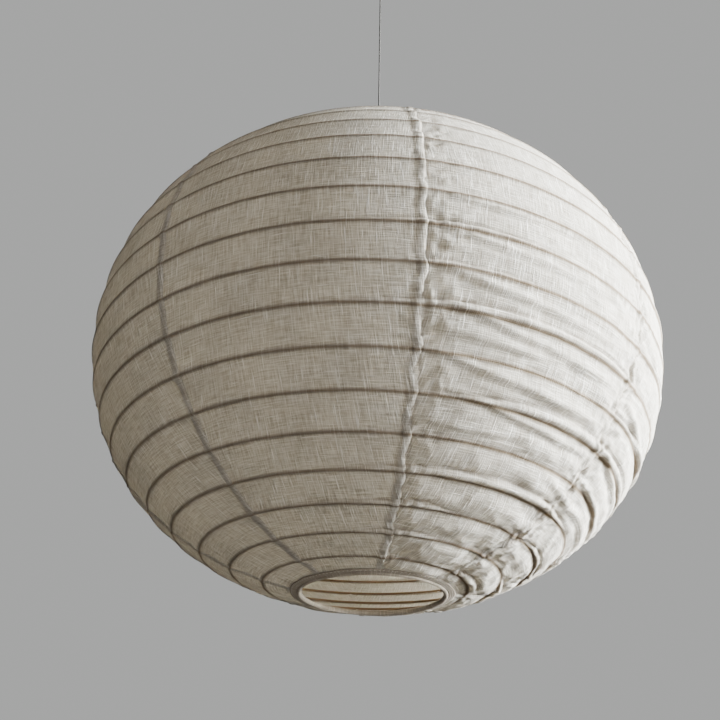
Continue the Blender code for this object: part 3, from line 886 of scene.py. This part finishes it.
def ceiling_rose(finish):
    """The round plate: a rolled edge, a shallow groove, two screw holes and the hook's blind bore."""
    plate = upright(PLATE_RADIUS, -PLATE_THICK, 0, sides=96, name="ceiling_rose", finish=finish)
    pick(plate, "FACE", lambda face: face.normal.z < -0.9)
    bpy.ops.mesh.inset(thickness=3.4 * MM)
    bpy.ops.mesh.inset(thickness=0.9 * MM)
    bpy.ops.mesh.inset(thickness=0.5 * MM)
    groove = [PLATE_RADIUS - 3.4 * MM, PLATE_RADIUS - 4.3 * MM]
    pick(plate, "FACE", lambda face: face.normal.z < -0.9 and len(face.vertices) == 4
         and groove[1] < math.hypot(*face.center[:2]) < groove[0])
    extrude((0, 0, 0.5 * MM))
    pick(plate, "EDGE", lambda a, b: min(math.hypot(*a[:2]), math.hypot(*b[:2])) > PLATE_RADIUS - 0.1 * MM
         and a.z < -3.9 * MM and b.z < -3.9 * MM)
    bevel(1.6 * MM, 5)
    object_mode()
    for x in (-SCREW_X, SCREW_X):
        cut(plate, upright(SCREW_RADIUS + CLEAR, -2 * PLATE_THICK, PLATE_THICK, x))
    cut(plate, upright(CEILING_WIRE + CLEAR, -2 * PLATE_THICK, STUD_BORE - PLATE_THICK))
    return finished(plate, "ceiling", "ceiling_plate", angle=30)


def rose_screw(side, finish):
    """A pan-head screw: domed head with a cross recess, and a pointed shank with a cut thread."""
    x = {"left": -SCREW_X, "right": SCREW_X}[side]
    top = -PLATE_THICK - CLEAR
    core = 0.76 * SCREW_RADIUS
    screw = upright(SCREW_HEAD, top - SCREW_HEAD_THICK, top, x, name=f"rose_screw_{side}", finish=finish)
    pick(screw, "FACE", lambda face: face.normal.z > 0.9)
    bpy.ops.mesh.inset(thickness=SCREW_HEAD - core)
    extrude((0, 0, SCREW_TIP - 4 * MM - top))
    extrude((0, 0, 4 * MM))
    bpy.ops.transform.resize(value=(0.12, 0.12, 1), center_override=(x, 0, SCREW_TIP))
    pick(screw, "EDGE", lambda a, b: max(a.z, b.z) < top - SCREW_HEAD_THICK + 0.1 * MM)
    bevel(1.3 * MM, 5)
    object_mode()
    for wide, deep in ((4.4 * MM, 0.9 * MM), (0.9 * MM, 4.4 * MM)):
        select()
        bpy.ops.mesh.primitive_cube_add(
            size=1, location=(x, 0, top - SCREW_HEAD_THICK), scale=(wide, deep, 2.6 * MM))
        cut(screw, started("recess", finish))

    select()
    bpy.ops.mesh.primitive_circle_add(vertices=3, radius=0.5 * MM, location=(core + 0.2 * MM, 0, -1 * MM),
                                      rotation=(math.pi / 2, 0, -math.pi / 2))
    thread = started("thread", finish)
    turns = int((SCREW_TIP - 4 * MM) / THREAD_PITCH)
    winding = thread.modifiers.new("winding", "SCREW")
    winding.axis = "Z"
    winding.screw_offset = THREAD_PITCH
    winding.iterations = turns
    winding.steps = winding.render_steps = 20
    bpy.ops.object.modifier_apply(modifier=winding.name)
    bpy.ops.object.mode_set(mode="EDIT")
    bpy.ops.mesh.select_all(action="SELECT")
    bpy.ops.mesh.fill_holes(sides=3)
    bpy.ops.mesh.select_all(action="SELECT")
    bpy.ops.mesh.normals_make_consistent(inside=False)
    bpy.ops.transform.translate(value=(x, 0, 0))
    object_mode()
    select(screw, thread)
    bpy.ops.object.join()
    return finished(screw, "ceiling", f"plate_screw_{side}")


def rose_hook(finish):
    """The riveted hook: collar, shank, small bend, then an open bend whose saddle is under the shank."""
    centre = -CEILING_STRAIGHT - math.sqrt(CEILING_BEND ** 2 + 2 * CEILING_BEND * CEILING_FILLET)
    meet = math.degrees(math.atan2(-CEILING_STRAIGHT - centre, -CEILING_FILLET))
    start = STUD_BORE - PLATE_THICK - CLEAR - CEILING_WIRE
    across = (1, 0, 0)
    collar = 1.4 * MM
    to_collar = PLATE_THICK + CLEAR + start
    moves = [("run", to_collar), ("collar", 1.8, collar),
             ("run", CEILING_STRAIGHT + start - to_collar - collar),
             ("bend", (0, -CEILING_FILLET, -CEILING_STRAIGHT), across, meet - 180),
             ("bend", (0, 0, centre), across, 380 - meet)]
    hook = bent_wire("rose_hook", (0, 0, start), (0, 0, -1), CEILING_WIRE, moves, finish, sides=24)
    return finished(hook, "ceiling", "ceiling_hook")


def shade_hook(finish):
    """The S-hook: two open bends in the plane across the hanger bar."""
    lower = RING_TOP + BAR_HUMP - BAR_WIRE - CLEAR - HOOK_WIRE + HOOK_BEND
    upper = lower + 2 * HOOK_BEND
    mouth = math.radians(-20)
    start = (0, HOOK_BEND * math.cos(mouth), upper + HOOK_BEND * math.sin(mouth))
    moves = [("bend", (0, 0, upper), (1, 0, 0), 290), ("bend", (0, 0, lower), (1, 0, 0), -290)]
    hook = bent_wire("shade_hook", start, (0, -math.sin(mouth), math.cos(mouth)), HOOK_WIRE, moves, finish)
    return finished(hook, "swivel", "s_hook")


def cross_bar(finish):
    """The hanger bar: a foot under the ring at each end, legs, shoulders, and a hump in the middle."""
    hump, knee, elbow, ankle = 7 * MM, 5 * MM, 5 * MM, 3 * MM
    start = (-BAR_FOOT_X, 0, RING_TOP + BAR_FOOT_Z)
    toe = BAR_FOOT_X - BAR_LEG_X - ankle
    leg = BAR_SHOULDER - elbow - BAR_FOOT_Z - ankle
    shoulder = BAR_LEG_X - elbow - hump - knee
    neck = BAR_HUMP - hump - BAR_SHOULDER - knee
    across = (0, -1, 0)
    left = [("run", toe), ("bend", (-BAR_LEG_X - ankle, 0, RING_TOP + BAR_FOOT_Z + ankle), across, 90),
            ("run", leg), ("bend", (-BAR_LEG_X + elbow, 0, RING_TOP + BAR_SHOULDER - elbow), across, -90),
            ("run", shoulder), ("bend", (-hump - knee, 0, RING_TOP + BAR_SHOULDER + knee), across, 90),
            ("run", neck)]
    right = []
    for move in left[::-1]:
        if move[0] == "bend":
            move = ("bend", (-move[1][0], 0, move[1][2]), across, move[3])
        right.append(move)
    moves = left + [("bend", (0, 0, RING_TOP + BAR_HUMP - hump), across, -180)] + right
    bar = bent_wire("cross_bar", start, (1, 0, 0), BAR_WIRE, moves, finish)
    return finished(bar, "shade", "hanger_bar")


def crimped_eye(name, node, body, ring_z, up, finish):
    """A line end: a closed wire ring, and a barrel squeezed at three places on to the line in its bore."""
    near = ring_z + up * (EYE_BEND + 0.4 * EYE_WIRE)
    far = ring_z + up * (EYE_BEND + BARREL_LENGTH)
    barrel = upright(BARREL_RADIUS, min(near, far), max(near, far), name=name, finish=finish)
    crimps = [near + (far - near) * share for share in (0.34, 0.58, 0.82)]
    for level in crimps:
        for step in (-1.0, -0.5, 0.5, 1.0):
            bpy.ops.object.mode_set(mode="EDIT")
            bpy.ops.mesh.select_all(action="SELECT")
            bpy.ops.mesh.bisect(plane_co=(0, 0, level + step * MM), plane_no=(0, 0, 1))
            object_mode()
    for level in crimps:
        pick(barrel, "EDGE", lambda a, b: abs(a.z - level) < 0.6 * MM and abs(b.z - level) < 0.6 * MM)
        bpy.ops.transform.resize(value=(0.84, 0.84, 1), center_override=(0, 0, level))
    pick(barrel, "FACE", lambda face: face.normal.z * up > 0.9 and abs(face.center.z - far) < 0.1 * MM)
    bpy.ops.mesh.inset(thickness=BARREL_RADIUS - 1.15 * MM)
    extrude((0, 0, -up * 1.0 * MM))
    object_mode()
    pick(barrel, "EDGE", lambda a, b: min(math.hypot(*a[:2]), math.hypot(*b[:2])) > BARREL_RADIUS - 0.05 * MM
         and (abs(a.z - far) + abs(b.z - far) < 0.1 * MM or abs(a.z - near) + abs(b.z - near) < 0.1 * MM))
    bevel(0.4 * MM, 3)
    object_mode()
    select()
    bpy.ops.mesh.primitive_torus_add(
        major_segments=48, minor_segments=20, major_radius=EYE_BEND, minor_radius=EYE_WIRE,
        location=(0, 0, ring_z), rotation=(math.pi / 2, 0, 0))
    cut(barrel, started("loop", finish), "UNION")
    return finished(barrel, body, node, angle=40)


def rim_ring(name, node, body, ring_z, finish):
    """A round wire ring whose ends are closed by a pressed sleeve at the back."""
    select()
    bpy.ops.mesh.primitive_torus_add(
        major_segments=180, minor_segments=14, major_radius=RING_RADIUS, minor_radius=RING_WIRE,
        location=(0, 0, ring_z))
    ring = started(name, finish)
    sleeve = math.radians(8)
    pick(ring, "FACE", lambda face: abs(math.atan2(face.center.x, face.center.y)) < sleeve)
    bpy.ops.mesh.extrude_region_shrink_fatten(TRANSFORM_OT_shrink_fatten={"value": 0.25 * MM})
    object_mode()
    return finished(ring, body, node)


# ---------------------------------------------------------------- setting

CAMERA_DISTANCE = 890.2 * MM
CAMERA_BELOW = math.radians(30.699)
CAMERA_YAW = math.radians(1.101)
CAMERA_PITCH = math.radians(-0.952)
CAMERA_ROLL = math.radians(0.8)


def camera():
    """Below the lantern, looking up at its middle."""
    data = bpy.data.cameras.new("camera")
    data.lens, data.sensor_width = 40, 36
    made = bpy.data.objects.new("camera", data)
    bpy.context.scene.collection.objects.link(made)
    toward = Vector((0, math.cos(CAMERA_BELOW), math.sin(CAMERA_BELOW)))
    right = toward.cross(Vector((0, 0, 1))).normalized()
    up = right.cross(toward)
    rows = Matrix((right, -up, toward))
    turned = (Matrix.Rotation(CAMERA_ROLL, 3, "Z") @ Matrix.Rotation(CAMERA_PITCH, 3, "X")
              @ Matrix.Rotation(CAMERA_YAW, 3, "Y") @ rows)
    basis = Matrix((turned[0], -turned[1], -turned[2])).transposed()
    made.matrix_world = (Matrix.Translation(Vector((0, 0, EQUATOR_Z)) - toward * CAMERA_DISTANCE)
                         @ basis.to_4x4())
    bpy.context.scene.camera = made


def area_light(name, azimuth, elevation, distance, size, power, tint, spread=180):
    """A soft square light aimed at the lantern's middle."""
    data = bpy.data.lights.new(name, "AREA")
    data.size, data.energy, data.color = size, power, linear(tint)[:3]
    data.spread = math.radians(spread)
    made = bpy.data.objects.new(name, data)
    bpy.context.scene.collection.objects.link(made)
    turn, rise = math.radians(azimuth), math.radians(elevation)
    out = Vector((math.sin(turn) * math.cos(rise), -math.cos(turn) * math.cos(rise), math.sin(rise)))
    made.location = Vector((0, 0, EQUATOR_Z)) + out * distance
    made.rotation_euler = out.to_track_quat("Z", "Y").to_euler()


def setting():
    camera()
    area_light("window", 96, 12, 2.3, 2.0, 310, "#f8faf8", spread=66)
    area_light("room_above", -12, 50, 2.8, 2.6, 12, "#fff8ee")
    area_light("room_below", 20, -35, 2.8, 2.6, 64, "#fff8ee")
    world = bpy.data.worlds.new("room_light")
    bpy.context.scene.world = world
    world.use_nodes = True
    tree = world.node_tree
    tree.nodes.clear()
    around = add(tree, "ShaderNodeBackground", {"Color": linear("#d6d0c6"), "Strength": 0.12})
    seen = add(tree, "ShaderNodeBackground", {"Color": linear("#c9cac9"), "Strength": 0.78})
    both = add(tree, "ShaderNodeMixShader", {
        0: add(tree, "ShaderNodeLightPath").outputs["Is Camera Ray"],
        1: around.outputs[0], 2: seen.outputs[0]})
    add(tree, "ShaderNodeOutputWorld", {"Surface": both.outputs[0]})
    select()
    bpy.ops.mesh.primitive_plane_add(size=80, location=(0, 0, -2.4))
    floor = bpy.context.object
    floor.name = "floor"
    floor.data.materials.append(floor_paint())
    floor.visible_diffuse = floor.visible_glossy = floor.visible_transmission = False


def build():
    linen = slubby_linen("slub_linen", yarn="#f4f2ec", shade="#bfb8ab", slub="#fbf9f4", see_through=0.6)
    # The hem is the same linen as the gores, given darker tones: painted shade.
    hem_linen_painted_shade = slubby_linen("folded_linen_painted_shade", yarn="#a0978a", shade="#847b6d", slub="#b0a798",
                             see_through=0.08)
    cane = split_cane()
    zinc = plain("zinc_plate", "#a9abac", 0.35, metallic=1.0, mottle=0.12)
    steel = plain("spring_steel", "#77736d", 0.45, metallic=1.0)
    cord = braided_cord()
    thread = plain("linen_thread", "#d8d1c3", 0.75, grain=1 * MM)
    white = plain("white_paint", "#e6e4de", 0.45, grain=2 * MM)

    ring_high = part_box("upper_eye")[1].z - EYE_BEND - EYE_WIRE
    ring_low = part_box("lower_eye")[0].z + EYE_BEND + EYE_WIRE
    crimped_eye("line_eye_upper", "upper_eye", "line", ring_high, -1, zinc)
    crimped_eye("line_eye_lower", "lower_eye", "swivel", ring_low, 1, zinc)
    line_piece(cord)
    cane_rib(cane)
    for index in range(GORES):
        gore_piece(index, linen)
    ceiling_rose(white)
    for side in ("left", "right"):
        rose_screw(side, zinc)
    rose_hook(zinc)
    shade_hook(zinc)
    cross_bar(zinc)
    rim_ring("ring_upper", "top_ring", "shade", RING_TOP, steel)
    rim_ring("ring_lower", "bottom_ring", "rim", RING_BOTTOM, steel)
    hem_pieces("top", "shade", -1, hem_linen_painted_shade)
    hem_pieces("bottom", "rim", 1, hem_linen_painted_shade)
    hem_stitches("top", -1, thread)
    hem_stitches("bottom", 1, thread)
    setting()


build()
